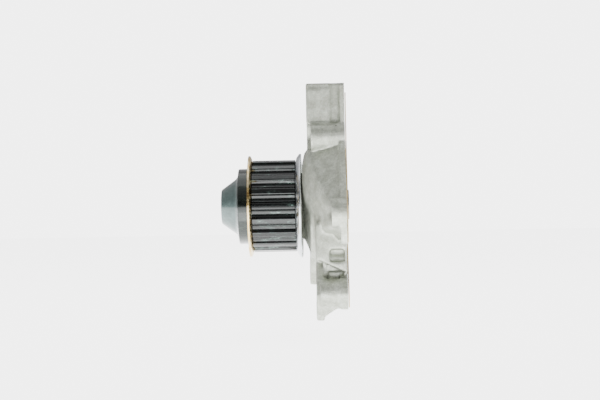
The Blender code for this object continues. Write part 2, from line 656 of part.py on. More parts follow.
make_housing(cast_aluminium)
make_gasket(gasket_paper)
make_sprocket(black_oxide_steel)
make_flanges(yellow_zinc, bright_zinc)
make_bearing(bearing_steel, nitrile_rubber, cage_nylon, bearing_steel)
make_shaft(bearing_steel)
make_seal(seal_brass, nitrile_rubber, bearing_steel, seal_carbon, alumina_ceramic)
make_impeller(cast_iron)
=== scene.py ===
"""The looks of a timing-belt water pump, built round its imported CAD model, in metres.

The rotor turns about the X axis with the sprocket's nose towards -X, and +Z is up. Every finished
piece sits at the origin with its place in its mesh, and rides with the body of the pump that carries it.
"""

import math

import bmesh
import bpy
from mathutils import Matrix, Vector


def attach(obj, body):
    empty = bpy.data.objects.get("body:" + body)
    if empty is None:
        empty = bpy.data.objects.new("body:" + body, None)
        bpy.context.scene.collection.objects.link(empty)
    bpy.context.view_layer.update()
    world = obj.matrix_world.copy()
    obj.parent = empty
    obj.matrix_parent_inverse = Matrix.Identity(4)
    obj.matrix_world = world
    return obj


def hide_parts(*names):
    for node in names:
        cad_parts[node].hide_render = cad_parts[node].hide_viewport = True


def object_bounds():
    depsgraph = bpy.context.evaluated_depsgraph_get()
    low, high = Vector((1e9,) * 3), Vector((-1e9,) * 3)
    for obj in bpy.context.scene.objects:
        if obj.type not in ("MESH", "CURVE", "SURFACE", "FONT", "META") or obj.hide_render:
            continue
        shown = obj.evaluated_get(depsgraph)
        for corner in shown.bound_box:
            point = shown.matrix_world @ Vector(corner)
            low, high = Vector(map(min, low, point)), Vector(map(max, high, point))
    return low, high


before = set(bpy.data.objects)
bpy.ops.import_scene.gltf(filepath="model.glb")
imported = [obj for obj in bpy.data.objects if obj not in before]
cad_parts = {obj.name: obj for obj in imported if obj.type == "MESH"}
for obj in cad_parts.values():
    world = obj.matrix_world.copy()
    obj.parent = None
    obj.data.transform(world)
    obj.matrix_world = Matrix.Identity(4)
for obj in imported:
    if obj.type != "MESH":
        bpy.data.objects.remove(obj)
CAD_LOW, CAD_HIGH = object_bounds()
AXIS = Vector((0.0, 0.0))


# ---------------------------------------------------------------------------------------------
# Housing. The real piece is one pressure die casting in aluminium, blasted with fine shot, so its
# skin is dull and grainy with small gas pits. The block face, bores, bolt holes and bolt seats are
# machined bright afterwards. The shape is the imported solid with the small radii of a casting.

def linear(code):
    """The linear colour of an sRGB hex code such as "A0B1C2"."""
    parts = [int(code[i:i + 2], 16) / 255 for i in (0, 2, 4)]
    return tuple(c / 12.92 if c <= 0.04045 else ((c + 0.055) / 1.055) ** 2.4 for c in parts) + (1.0,)


def add(tree, kind, inputs=None, **settings):
    """Adds a node with its settings. An input is a value, or a socket to link from."""
    made = tree.nodes.new(kind)
    for name, value in settings.items():
        setattr(made, name, value)
    for name, value in (inputs or {}).items():
        if isinstance(value, bpy.types.NodeSocket):
            tree.links.new(value, made.inputs[name])
        else:
            made.inputs[name].default_value = value
    return made


def ramp(tree, value, stops):
    """A colour ramp over a value, from (position, hex code) stops."""
    made = add(tree, "ShaderNodeValToRGB", {"Fac": value})
    ends = made.color_ramp.elements
    while len(ends) < len(stops):
        ends.new(0.5)
    for end, (position, code) in zip(ends, stops):
        end.position = position
        end.color = linear(code)
    return made.outputs["Color"]


def spread(tree, value, low, high, to_low=0.0, to_high=1.0):
    """Maps a value smoothly from one range to another, clamped."""
    made = add(tree, "ShaderNodeMapRange", {
        "Value": value, "From Min": low, "From Max": high, "To Min": to_low, "To Max": to_high,
    }, interpolation_type="SMOOTHSTEP")
    return made.outputs["Result"]


def maths(tree, operation, first, second=0.0):
    """The result of a Math node, whose inputs are values or sockets."""
    made = add(tree, "ShaderNodeMath", {0: first, 1: second}, operation=operation)
    return made.outputs["Value"]


def noise(tree, vector, size, detail=3.0, roughness=0.5):
    """Noise whose grains are about the given size in metres."""
    made = add(tree, "ShaderNodeTexNoise", {
        "Vector": vector, "Scale": 1.0 / size, "Detail": detail, "Roughness": roughness,
    })
    return made.outputs["Fac"]


def blend(tree, amount, first, second):
    """Mixes two colours, each a socket or a linear colour."""
    made = add(tree, "ShaderNodeMix", data_type="RGBA")
    for socket, value in ((made.inputs[0], amount), (made.inputs[6], first), (made.inputs[7], second)):
        if isinstance(value, bpy.types.NodeSocket):
            tree.links.new(value, socket)
        else:
            socket.default_value = value
    return made.outputs[2]


def bump(tree, height, depth, under=None):
    """Raises the surface by depth metres where height is 1."""
    inputs = {"Height": height, "Distance": depth, "Strength": 1.0}
    if under:
        inputs["Normal"] = under
    return add(tree, "ShaderNodeBump", inputs).outputs["Normal"]


def new_material(name, metallic, roughness):
    """A material with an Object coordinate socket and its Principled shader."""
    made = bpy.data.materials.new(name)
    made.use_nodes = True
    tree = made.node_tree
    shader = tree.nodes["Principled BSDF"]
    shader.inputs["Metallic"].default_value = metallic
    shader.inputs["Roughness"].default_value = roughness
    place = add(tree, "ShaderNodeTexCoord").outputs["Object"]
    return made, tree, shader, place


def stretched(tree, place, factors):
    """Coordinates multiplied along X, Y and Z, for grain that runs one way."""
    made = add(tree, "ShaderNodeVectorMath", {0: place, 1: factors}, operation="MULTIPLY")
    return made.outputs["Vector"]


def lathe_place(tree, place):
    """Coordinates (x, distance from the X axis, 0), for marks that run round a turned piece."""
    parts = add(tree, "ShaderNodeSeparateXYZ", {"Vector": place}).outputs
    across = maths(tree, "SQRT", maths(
        tree, "ADD", maths(tree, "MULTIPLY", parts["Y"], parts["Y"]),
        maths(tree, "MULTIPLY", parts["Z"], parts["Z"]),
    ))
    return add(tree, "ShaderNodeCombineXYZ", {"X": parts["X"], "Y": across}).outputs["Vector"]


# Die-cast aluminium, shot blasted: grain of 0.45 mm and 1.3 mm over 4.5 mm waves, with gas pits.
blasted, tree, shader, place = new_material("aluminium_die_cast_shot_blasted", 0.80, 0.5)
grain = noise(tree, place, 0.00045, 4.0, 0.6)
shot = noise(tree, place, 0.0013, 3.0, 0.6)
waves = noise(tree, place, 0.0045, 3.0, 0.5)
stain = noise(tree, place, 0.016, 4.0, 0.6)
pit_cells = add(tree, "ShaderNodeTexVoronoi", {"Vector": place, "Scale": 170.0})
pit_size = add(tree, "ShaderNodeSeparateColor", {"Color": pit_cells.outputs["Color"]}).outputs["Red"]
pit_edge = spread(tree, pit_size, 0.62, 1.0, 0.0, 0.12)
pit = maths(tree, "LESS_THAN", pit_cells.outputs["Distance"], pit_edge)
tone = ramp(tree, waves, [(0.30, "A6AA9E"), (0.52, "B9BDB1"), (0.72, "CACEC4")])
tone = blend(tree, spread(tree, shot, 0.40, 0.60, 0.30, 0.0), tone, linear("787C70"))
tone = blend(tree, spread(tree, stain, 0.55, 0.75, 0.0, 0.45), tone, linear("868876"))
tone = blend(tree, spread(tree, grain, 0.35, 0.65, 0.35, 0.0), tone, linear("61655A"))
# Painted shade: ambient occlusion darkens the colour towards 34372D in recesses, corners and under
# overhangs.
painted_shade_in_recesses = add(
    tree, "ShaderNodeAmbientOcclusion", {"Distance": 0.007}, samples=8, only_local=True,
).outputs["AO"]
tone = blend(tree, spread(tree, painted_shade_in_recesses, 0.15, 0.70, 0.45, 0.0), tone, linear("34372D"))
tone = blend(tree, pit, tone, linear("24231F"))
tree.links.new(tone, shader.inputs["Base Color"])
tree.links.new(spread(tree, grain, 0.3, 0.7, 0.42, 0.58), shader.inputs["Roughness"])
skin = bump(tree, waves, 0.00010, bump(tree, shot, 0.00006, bump(tree, grain, 0.00007)))
skin = bump(tree, maths(tree, "SUBTRACT", 1.0, pit), 0.00020, skin)
tree.links.new(skin, shader.inputs["Normal"])

# The same alloy where a cutter has passed: bright, with fine arcs 0.25 mm apart.
milled, tree, shader, place = new_material("aluminium_machined", 1.0, 0.28)
arcs = add(tree, "ShaderNodeTexWave", {
    "Vector": place, "Scale": 320.0, "Distortion": 0.6, "Detail": 2.0,
}, wave_type="RINGS", rings_direction="X").outputs["Fac"]
haze = noise(tree, place, 0.006, 4.0, 0.6)
tree.links.new(ramp(tree, haze, [(0.3, "A4A5A3"), (0.7, "BDBEBC")]), shader.inputs["Base Color"])
tree.links.new(spread(tree, haze, 0.3, 0.7, 0.22, 0.38), shader.inputs["Roughness"])
tree.links.new(bump(tree, arcs, 0.000006), shader.inputs["Normal"])


def mesh_object(name, bm, *materials):
    """Makes a smooth-shaded object from a bmesh and turns its faces outwards."""
    bmesh.ops.recalc_face_normals(bm, faces=bm.faces[:])
    mesh = bpy.data.meshes.new(name)
    bm.to_mesh(mesh)
    bm.free()
    mesh.shade_smooth()
    mesh.set_sharp_from_angle(angle=math.radians(32))
    made = bpy.data.objects.new(name, mesh)
    bpy.context.scene.collection.objects.link(made)
    for each in materials:
        mesh.materials.append(each)
    return made


def settled(obj):
    """Applies an object's modifiers, leaving one plain mesh."""
    graph = bpy.context.evaluated_depsgraph_get()
    mesh = bpy.data.meshes.new_from_object(obj.evaluated_get(graph))
    old = obj.data
    obj.modifiers.clear()
    obj.data = mesh
    bpy.data.meshes.remove(old)
    mesh.shade_smooth()
    mesh.set_sharp_from_angle(angle=math.radians(32))
    return obj


def combine(obj, other, operation):
    """Joins or cuts an object with another closed one, which is then removed."""
    step = obj.modifiers.new(operation, "BOOLEAN")
    step.operation = operation
    step.object = other
    step.solver = "MANIFOLD"
    settled(obj)
    bpy.data.objects.remove(other, do_unlink=True)


def rounded(corners, steps=4):
    """A closed outline of (a, b, radius) corners, with each corner rounded off."""
    outline = []
    for i, corner in enumerate(corners):
        point = Vector(corner[:2])
        if len(corner) < 3:
            outline.append(point)
            continue
        before = Vector(corners[i - 1][:2]) - point
        after = Vector(corners[(i + 1) % len(corners)][:2]) - point
        start = point + before.normalized() * min(corner[2], before.length * 0.49)
        end = point + after.normalized() * min(corner[2], after.length * 0.49)
        for step in range(steps + 1):
            t = step / steps
            outline.append(start * (1 - t) ** 2 + point * 2 * t * (1 - t) + end * t * t)
    return outline


def turned(name, corners, *materials, segments=128):
    """An (x, radius) outline spun about the X axis."""
    outline = rounded(corners)
    bm = bmesh.new()
    rings = []
    for number in range(segments):
        angle = 2 * math.pi * number / segments
        rings.append([bm.verts.new((x, r * math.cos(angle), r * math.sin(angle))) for x, r in outline])
    for ring, following in zip(rings, rings[1:] + rings[:1]):
        for i in range(len(outline)):
            j = (i + 1) % len(outline)
            bm.faces.new((ring[i], ring[j], following[j], following[i]))
    bmesh.ops.remove_doubles(bm, verts=bm.verts[:], dist=1e-7)
    bmesh.ops.dissolve_degenerate(bm, edges=bm.edges[:], dist=1e-8)
    return mesh_object(name, bm, *materials)


def disc(centre, radius, segments=64):
    """The (Y, Z) points of a circle."""
    return [
        (centre[0] + radius * math.cos(a), centre[1] + radius * math.sin(a))
        for a in (2 * math.pi * i / segments for i in range(segments))
    ]


def prism(name, outline, front_x, rear_x, *materials):
    """A (Y, Z) outline drawn out along X."""
    bm = bmesh.new()
    front = [bm.verts.new((front_x, y, z)) for y, z in outline]
    rear = [bm.verts.new((rear_x, y, z)) for y, z in outline]
    bm.faces.new(front)
    bm.faces.new(rear[::-1])
    for i in range(len(outline)):
        j = (i + 1) % len(outline)
        bm.faces.new((front[i], front[j], rear[j], rear[i]))
    return mesh_object(name, bm, *materials)


FACE_X = -0.0009
FACE_ALLOWANCE = 0.0016
TOP_SEAT_X = -0.0210
SIDE_SEAT_X = -0.0095
M8_RADIUS = 0.0042
M10_RADIUS = 0.0055
M8_HOLES = {
    "top": (-0.0345, 0.0405), "side": (-0.0730, -0.0040),
    "lower": (-0.0220, -0.0360), "far": (0.0450, -0.0110),
}
M10_HOLE = (-0.0490, -0.0515)
WIDE_SQUARE = [(-0.12, -0.12), (0.12, -0.12), (0.12, 0.12), (-0.12, 0.12)]

bm = bmesh.new()
bm.from_mesh(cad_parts["housing"].data)
bmesh.ops.remove_doubles(bm, verts=bm.verts[:], dist=1e-6)
for vert in bm.verts:
    if abs(vert.co.x - FACE_X) < 2e-5:
        vert.co.x += FACE_ALLOWANCE
housing = mesh_object("pump_housing", bm)
cast = housing.modifiers.new("cast skin", "REMESH")
cast.mode = "VOXEL"
cast.voxel_size = 0.00072
soften = housing.modifiers.new("casting radii", "SMOOTH")
soften.factor = 0.5
soften.iterations = 4
settled(housing)


def inside(value, low, high, edge):
    """1 between low and high, falling to 0 over the edge width on both sides."""
    return max(0.0, min(1.0, (value - low) / edge, (high - value) / edge))


# The passage hump is one full round form, so it is faired more than the ribs and bosses are.
hump = housing.vertex_groups.new(name="passage hump")
for vert in housing.data.vertices:
    weight = (
        inside(vert.co.x, -0.0300, -0.0062, 0.0022) * inside(vert.co.y, -0.0625, -0.0040, 0.0040)
        * inside(vert.co.z, -0.0120, 0.0325, 0.0035)
    )
    clear_of_snout = min(1.0, max(0.0, (math.hypot(vert.co.y, vert.co.z) - 0.0205) / 0.002))
    if weight * clear_of_snout > 0.01:
        hump.add([vert.index], weight * clear_of_snout, "REPLACE")
fair = housing.modifiers.new("fairing", "SMOOTH")
fair.factor = 0.5
fair.iterations = 60
fair.vertex_group = hump.name
settled(housing)
combine(housing, prism("face", WIDE_SQUARE, FACE_X, 0.03), "DIFFERENCE")
combine(housing, turned("bores", [
    (-0.0600, 0.0), (-0.0600, 0.0160), (-0.0524, 0.0160), (-0.0517, 0.0153), (-0.0182, 0.0153),
    (-0.0182, 0.0115), (-0.0170, 0.0115), (-0.0170, 0.0145), (-0.0099, 0.0145), (-0.0099, 0.0282),
    (0.0120, 0.0282), (0.0120, 0.0),
]), "DIFFERENCE")
for key, centre in M8_HOLES.items():
    combine(housing, prism(key, disc(centre, M8_RADIUS), -0.04, 0.01), "DIFFERENCE")
combine(housing, prism("foot", disc(M10_HOLE, M10_RADIUS), -0.04, 0.01), "DIFFERENCE")
combine(housing, prism("seat", disc(M8_HOLES["top"], 0.0080), -0.03, TOP_SEAT_X), "DIFFERENCE")
combine(housing, prism("seat", disc(M8_HOLES["side"], 0.0078), -0.02, SIDE_SEAT_X), "DIFFERENCE")

housing.data.materials.clear()
housing.data.materials.append(blasted)
housing.data.materials.append(milled)
for face in housing.data.polygons:
    middle = face.center
    from_axis = math.hypot(middle.y, middle.z)
    in_hole = any(math.dist(middle.yz, centre) < 0.0043 for centre in M8_HOLES.values())
    in_hole = in_hole or math.dist(middle.yz, M10_HOLE) < 0.0056
    on_seat = any(
        abs(middle.x - seat_x) < 2e-5 and abs(face.normal.x) > 0.99
        for seat_x in (FACE_X, TOP_SEAT_X, SIDE_SEAT_X)
    )
    in_bore = from_axis < 0.0156 or (middle.x > -0.0101 and from_axis < 0.0284)
    face.material_index = int(in_hole or on_seat or in_bore)
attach(housing, "pump_body")
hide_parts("housing")


# ---------------------------------------------------------------------------------------------
# Gasket. A flat sheet of compressed fibre, 0.6 mm thick, punched out with a steel-rule die. It lies
# on the housing's machined face, and the five bolts clamp it.

RING_TOP = (-0.0110, 0.0290)
GASKET_BARS = [
    (AXIS, AXIS, 0.0339, 0.0339),
    ((-0.0305, -0.0060), (-0.0675, -0.0185), 0.0029, 0.0029),
    ((-0.0675, -0.0185), M8_HOLES["side"], 0.0029, 0.0072),
    (M8_HOLES["side"], M8_HOLES["top"], 0.0029, 0.0029),
    (M8_HOLES["top"], M8_HOLES["top"], 0.0072, 0.0072),
    (M8_HOLES["top"], (-0.0300, 0.0640), 0.0029, 0.0029),
    (M8_HOLES["top"], RING_TOP, 0.0029, 0.0029),
    (AXIS, M8_HOLES["lower"], 0.0285, 0.0072),
    (M8_HOLES["lower"], M10_HOLE, 0.0055, 0.0055),
    (M10_HOLE, M10_HOLE, 0.0082, 0.0082),
    (AXIS, M8_HOLES["far"], 0.0072, 0.0072),
    (AXIS, (0.0195, -0.0405), 0.0029, 0.0029),
]

fibre_sheet, tree, shader, place = new_material("compressed_fibre_sheet", 0.0, 0.82)
fibres = noise(tree, stretched(tree, place, (1.0, 1.0, 0.25)), 0.00035, 5.0, 0.7)
crossing = noise(tree, stretched(tree, place, (1.0, 0.25, 1.0)), 0.00040, 5.0, 0.7)
clouds = noise(tree, place, 0.009, 4.0, 0.6)
felt = maths(tree, "MULTIPLY", maths(tree, "ADD", fibres, crossing), 0.5)
paper = ramp(tree, felt, [(0.30, "A08A5E"), (0.50, "C6B287"), (0.68, "DDCDA6")])
paper = blend(tree, spread(tree, clouds, 0.45, 0.75, 0.0, 0.35), paper, linear("B29C6C"))
tree.links.new(paper, shader.inputs["Base Color"])
tree.links.new(bump(tree, felt, 0.00004), shader.inputs["Normal"])

gasket = None
for number, (start, end, radius_start, radius_end) in enumerate(GASKET_BARS):
    bm = bmesh.new()
    for x in (-0.003 - 0.0001 * number, 0.003 + 0.0001 * number):
        for centre, radius in ((start, radius_start), (end, radius_end)):
            for y, z in disc(centre, radius, 96):
                bm.verts.new((x, y, z))
    bmesh.ops.remove_doubles(bm, verts=bm.verts[:], dist=1e-7)
    bmesh.ops.convex_hull(bm, input=bm.verts[:])
    bmesh.ops.delete(bm, geom=[v for v in bm.verts if not v.link_faces], context="VERTS")
    bar = mesh_object("paper_gasket", bm)
    if gasket:
        combine(gasket, bar, "UNION")
    else:
        gasket = bar
combine(gasket, prism("window", disc(AXIS, 0.0285, 128), -0.01, 0.01), "DIFFERENCE")
for centre in M8_HOLES.values():
    combine(gasket, prism("hole", disc(centre, M8_RADIUS), -0.01, 0.01), "DIFFERENCE")
combine(gasket, prism("hole", disc(M10_HOLE, M10_RADIUS), -0.01, 0.01), "DIFFERENCE")
combine(gasket, prism("sheet", WIDE_SQUARE, -0.0006, 0.0), "INTERSECT")
gasket.data.materials.clear()
gasket.data.materials.append(fibre_sheet)
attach(gasket, "pump_body")
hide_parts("gasket")


# ---------------------------------------------------------------------------------------------
# Timing sprocket. One steel piece with 19 belt teeth, a collar at each end for the flanges and a
# cone nose, all turned and hobbed, then blackened. It is pressed onto the spindle.

TOOTH_COUNT = 19
TIP_RADIUS = 0.0281
GROOVE_ROUND = 0.00295
GROOVE_CENTRE = TIP_RADIUS - 0.00225 + GROOVE_ROUND


def around_axis(name, template, count, finish, start=0.0, weld=0.0):
    """Copies a template mesh round the X axis with a Geometry Nodes tree, and leaves one plain mesh."""
    group = bpy.data.node_groups.new(f"{name}_round_the_axis", "GeometryNodeTree")
    face = group.interface
    face.new_socket("Geometry", in_out="INPUT", socket_type="NodeSocketGeometry")
    count_in = face.new_socket("Count", in_out="INPUT", socket_type="NodeSocketInt")
    start_in = face.new_socket("Start angle", in_out="INPUT", socket_type="NodeSocketFloat")
    weld_in = face.new_socket("Weld distance", in_out="INPUT", socket_type="NodeSocketFloat")
    finish_in = face.new_socket("Finish", in_out="INPUT", socket_type="NodeSocketMaterial")
    face.new_socket("Geometry", in_out="OUTPUT", socket_type="NodeSocketGeometry")
    given = add(group, "NodeGroupInput").outputs
    points = add(group, "GeometryNodePoints", {"Count": given["Count"]})
    step = maths(group, "DIVIDE", 2 * math.pi, given["Count"])
    index = add(group, "GeometryNodeInputIndex").outputs["Index"]
    angle = maths(group, "ADD", maths(group, "MULTIPLY", index, step), given["Start angle"])
    turn = add(group, "ShaderNodeCombineXYZ", {"X": angle}).outputs["Vector"]
    copies = add(group, "GeometryNodeInstanceOnPoints", {
        "Points": points.outputs[0], "Instance": given["Geometry"], "Rotation": turn,
    })
    real = add(group, "GeometryNodeRealizeInstances", {"Geometry": copies.outputs["Instances"]})
    joined = add(group, "GeometryNodeMergeByDistance", {
        "Geometry": real.outputs["Geometry"], "Distance": given["Weld distance"],
    })
    painted = add(group, "GeometryNodeSetMaterial", {
        "Geometry": joined.outputs["Geometry"], "Material": given["Finish"],
    })
    add(group, "NodeGroupOutput", {"Geometry": painted.outputs["Geometry"]})
    step = template.modifiers.new("round the axis", "NODES")
    step.node_group = group
    step[count_in.identifier] = count
    step[start_in.identifier] = start
    step[weld_in.identifier] = weld
    step[finish_in.identifier] = finish
    template.name = name
    return settled(template)


# Steel, turned and blackened. The nose is paler green-grey, partly a satin bloom and partly painted
# reflection; the collar is olive black.
blackened, tree, shader, place = new_material("steel_black_oxide", 0.80, 0.34)
shader.inputs["Coat Weight"].default_value = 0.8
shader.inputs["Coat Roughness"].default_value = 0.12
along = add(tree, "ShaderNodeSeparateXYZ", {"Vector": place}).outputs["X"]
streaks = noise(tree, stretched(tree, place, (0.06, 1.0, 1.0)), 0.00045, 4.0, 0.65)
blotches = noise(tree, stretched(tree, place, (0.35, 1.0, 1.0)), 0.0026, 5.0, 0.7)
rings = noise(tree, lathe_place(tree, place), 0.00030, 3.0, 0.6)
# The palest blotches and the pale streaks on the teeth are partly wear and partly painted highlights of the
# light on the lands.
teeth = ramp(tree, blotches, [(0.36, "040706"), (0.54, "0A100F"), (0.63, "26332F"), (0.74, "7D928B")])
teeth = blend(tree, spread(tree, streaks, 0.60, 0.74, 0.0, 0.30), teeth, linear("6C8580"))
# Painted reflection: the nose cone is coloured paler than the teeth for the light its sloping face catches,
# partly also its satin finish.
cone = ramp(tree, blotches, [(0.30, "4A5957"), (0.55, "556664"), (0.75, "637472")])
collar = ramp(tree, blotches, [(0.30, "121715"), (0.55, "1F2723"), (0.75, "38423B")])
body = blend(tree, spread(tree, along, -0.0602, -0.0590), collar, teeth)
body = blend(tree, spread(tree, along, -0.0672, -0.0664), cone, body)
tree.links.new(body, shader.inputs["Base Color"])
nose_bloom = spread(tree, along, -0.0660, -0.0680, 0.0, 0.16)
rough = maths(tree, "ADD", spread(tree, streaks, 0.35, 0.7, 0.18, 0.32), nose_bloom)
tree.links.new(rough, shader.inputs["Roughness"])
tooling = bump(tree, rings, 0.000006, bump(tree, streaks, 0.000007, bump(tree, blotches, 0.000015)))
tree.links.new(tooling, shader.inputs["Normal"])

half_sweep = math.acos(
    (GROOVE_CENTRE**2 + GROOVE_ROUND**2 - TIP_RADIUS**2) / (2 * GROOVE_CENTRE * GROOVE_ROUND)
)
half_pitch = math.pi / TOOTH_COUNT
edge_angle = math.atan2(
    GROOVE_ROUND * math.sin(half_sweep), GROOVE_CENTRE - GROOVE_ROUND * math.cos(half_sweep)
)
land_angles = [half_pitch, (half_pitch + edge_angle) / 2, edge_angle + 0.028]
groove_sweeps = [half_sweep * (0.86 - 1.72 * i / 16) for i in range(17)]
flank = [Vector((TIP_RADIUS * math.cos(-a), TIP_RADIUS * math.sin(-a))) for a in land_angles]
floor_arc = [
    Vector((GROOVE_CENTRE - GROOVE_ROUND * math.cos(s), -GROOVE_ROUND * math.sin(s))) for s in groove_sweeps
]
corner = Vector((TIP_RADIUS * math.cos(-edge_angle), TIP_RADIUS * math.sin(-edge_angle)))
lip = [
    flank[-1] * (1 - t) ** 2 + corner * 2 * t * (1 - t) + floor_arc[0] * t * t
    for t in (0.2, 0.4, 0.6, 0.8)
]
one_side = flank + lip
outline = one_side + floor_arc + [Vector((p.x, -p.y)) for p in reversed(one_side)]
bm = bmesh.new()
sections = []
for x, shrink in ((-0.0576, 0.0004), (-0.0572, 0.0), (-0.0316, 0.0), (-0.0312, 0.0004)):
    sections.append([bm.verts.new((x, *(p * (1 - shrink / p.length)))) for p in outline])
inner = []
for x in (-0.0576, -0.0312):
    inner.append([bm.verts.new((x, *(p.normalized() * 0.0236))) for p in outline])
for first, second in (
    (inner[0], sections[0]), (sections[0], sections[1]), (sections[1], sections[2]),
    (sections[2], sections[3]), (sections[3], inner[1]), (inner[1], inner[0]),
):
    for i in range(len(outline) - 1):
        bm.faces.new((first[i], first[i + 1], second[i + 1], second[i]))
tooth = mesh_object("tooth", bm)
teeth_ring = around_axis("timing_sprocket_teeth", tooth, TOOTH_COUNT, blackened, weld=2e-6)
sprocket = turned("timing_sprocket_blackened", [
    (-0.0769, 0.0083), (-0.0769, 0.0104, 0.0007), (-0.0680, 0.0168, 0.0010), (-0.0670, 0.0182, 0.0006),
    (-0.0664, 0.0205, 0.0006), (-0.0661, 0.0231, 0.0007), (-0.0572, 0.0231), (-0.0572, 0.0245),
    (-0.0316, 0.0245), (-0.0316, 0.0242), (-0.0289, 0.0242, 0.0005), (-0.0289, 0.0206, 0.0004),
    (-0.0562, 0.0206, 0.0012), (-0.0562, 0.0083, 0.0004),
], blackened, segments=190)
combine(sprocket, teeth_ring, "UNION")
sprocket.data.materials.clear()
sprocket.data.materials.append(blackened)
for face in sprocket.data.polygons:
    face.material_index = 0
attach(sprocket, "rotor")
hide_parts("timing_sprocket")


# ---------------------------------------------------------------------------------------------
# Front flange. A pressed ring of 1.4 mm steel with yellow zinc plating, which sits on the front
# collar and keeps the belt on. The collar is staked over it.

gold, tree, shader, place = new_material("steel_pressed_yellow_zinc", 1.0, 0.26)
cloud = noise(tree, place, 0.005, 4.0, 0.6)
rings = noise(tree, lathe_place(tree, place), 0.00025, 2.0, 0.5)
tint = ramp(tree, cloud, [(0.25, "C4985A"), (0.45, "E0C486"), (0.60, "EFDDB0"), (0.78, "D2AE7C")])
tree.links.new(tint, shader.inputs["Base Color"])
tree.links.new(spread(tree, cloud, 0.3, 0.7, 0.20, 0.34), shader.inputs["Roughness"])
tree.links.new(bump(tree, rings, 0.000010), shader.inputs["Normal"])
front_flange = turned("front_belt_flange", [
    (-0.0593, 0.0234), (-0.0593, 0.0293, 0.0012), (-0.0600, 0.0308, 0.0002), (-0.0595, 0.0310, 0.0002),
    (-0.0588, 0.0309, 0.0002), (-0.0579, 0.0290, 0.0010), (-0.0579, 0.0234),
], gold, segments=192)
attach(front_flange, "rotor")
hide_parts("sprocket_front_flange")


# ---------------------------------------------------------------------------------------------
# Rear flange. The same pressing for the rear collar, dished away from the teeth, in bright zinc.

silver, tree, shader, place = new_material("steel_pressed_bright_zinc", 1.0, 0.22)
cloud = noise(tree, place, 0.006, 4.0, 0.6)
rings = noise(tree, lathe_place(tree, place), 0.00025, 2.0, 0.5)
tree.links.new(ramp(tree, cloud, [(0.3, "B9BDC2"), (0.7, "DCDFE2")]), shader.inputs["Base Color"])
tree.links.new(spread(tree, cloud, 0.3, 0.7, 0.16, 0.30), shader.inputs["Roughness"])
tree.links.new(bump(tree, rings, 0.000010), shader.inputs["Normal"])
rear_flange = turned("rear_belt_flange", [
    (-0.0309, 0.0245), (-0.0309, 0.0290, 0.0012), (-0.0289, 0.0317, 0.0002), (-0.0281, 0.0319, 0.0002),
    (-0.0275, 0.0314, 0.0002), (-0.0295, 0.0294, 0.0010), (-0.0295, 0.0245),
], silver, segments=192)
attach(rear_flange, "rotor")
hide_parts("sprocket_rear_flange")


# ---------------------------------------------------------------------------------------------
# Spindle. A hardened steel pin, ground all over, that is also the inner race for both ball rows.
# Each end has a small centre drilling from the grinding.

def race(x, reach, sign):
    """Points of a raceway 3.4 mm in radius, bulging outwards or inwards."""
    half = math.acos(abs(reach - 0.01055) / 0.0034)
    sweeps = [half * (i / 6 - 1) for i in range(13)]
    return [(x + 0.0034 * math.sin(s), 0.01055 + sign * 0.0034 * math.cos(s)) for s in sweeps]


ground, tree, shader, place = new_material("bearing_steel_ground", 1.0, 0.18)
rings = noise(tree, lathe_place(tree, place), 0.00012, 3.0, 0.6)
haze = noise(tree, place, 0.004, 3.0, 0.5)
tree.links.new(ramp(tree, haze, [(0.3, "A9ABAD"), (0.7, "C3C5C7")]), shader.inputs["Base Color"])
tree.links.new(spread(tree, rings, 0.3, 0.7, 0.14, 0.26), shader.inputs["Roughness"])
tree.links.new(bump(tree, rings, 0.000004), shader.inputs["Normal"])
spindle = turned("pump_spindle", [
    (-0.0735, 0.0), (-0.0764, 0.0018), (-0.0764, 0.0080, 0.0007), *race(-0.0455, 0.0080, -1),
    *race(-0.0275, 0.0080, -1), (-0.0052, 0.0080, 0.0003), (-0.0046, 0.0060), (0.0, 0.0060, 0.0005),
    (0.0, 0.0014), (-0.0020, 0.0),
], ground)
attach(spindle, "rotor")
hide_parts("pump_shaft")


# ---------------------------------------------------------------------------------------------
# Bearing. A hardened outer ring pressed in the snout, a moulded rubber lip seal at each end, and
# two rows of seven steel balls, each row kept apart by a moulded nylon cage.

outer_ring = turned("bearing_ring", [
    (-0.0545, 0.0127, 0.0002), (-0.0545, 0.0150, 0.0006), (-0.0185, 0.0150, 0.0006),
    (-0.0185, 0.0127, 0.0002),
    *race(-0.0275, 0.0127, 1)[::-1], *race(-0.0455, 0.0127, 1)[::-1],
], ground)
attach(outer_ring, "pump_body")
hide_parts("bearing_outer_ring")

black_rubber, tree, shader, place = new_material("nitrile_rubber_moulded", 0.0, 0.62)
bloom = noise(tree, place, 0.0012, 4.0, 0.6)
tree.links.new(ramp(tree, bloom, [(0.3, "161616"), (0.7, "2A2A29")]), shader.inputs["Base Color"])
tree.links.new(spread(tree, bloom, 0.3, 0.7, 0.52, 0.74), shader.inputs["Roughness"])
tree.links.new(bump(tree, noise(tree, place, 0.0002), 0.00001), shader.inputs["Normal"])
for end, near_x, far_x in (("front", -0.0541, -0.0524), ("rear", -0.0189, -0.0206)):
    step = math.copysign(0.0004, far_x - near_x)
    lip_seal = turned(f"bearing_lip_seal_{end}", [
        (near_x, 0.0124, 0.0002), (far_x, 0.0124, 0.0002), (far_x, 0.0083, 0.0002),
        (near_x + step, 0.0083, 0.0002),
        (near_x + step, 0.0092, 0.0003), (near_x, 0.0098, 0.0003), (near_x, 0.0108, 0.0002),
        (near_x + step, 0.0112, 0.0002), (near_x + step, 0.0116, 0.0002), (near_x, 0.0119, 0.0002),
    ], black_rubber)
    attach(lip_seal, "pump_body")
    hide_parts(f"bearing_{end}_seal")

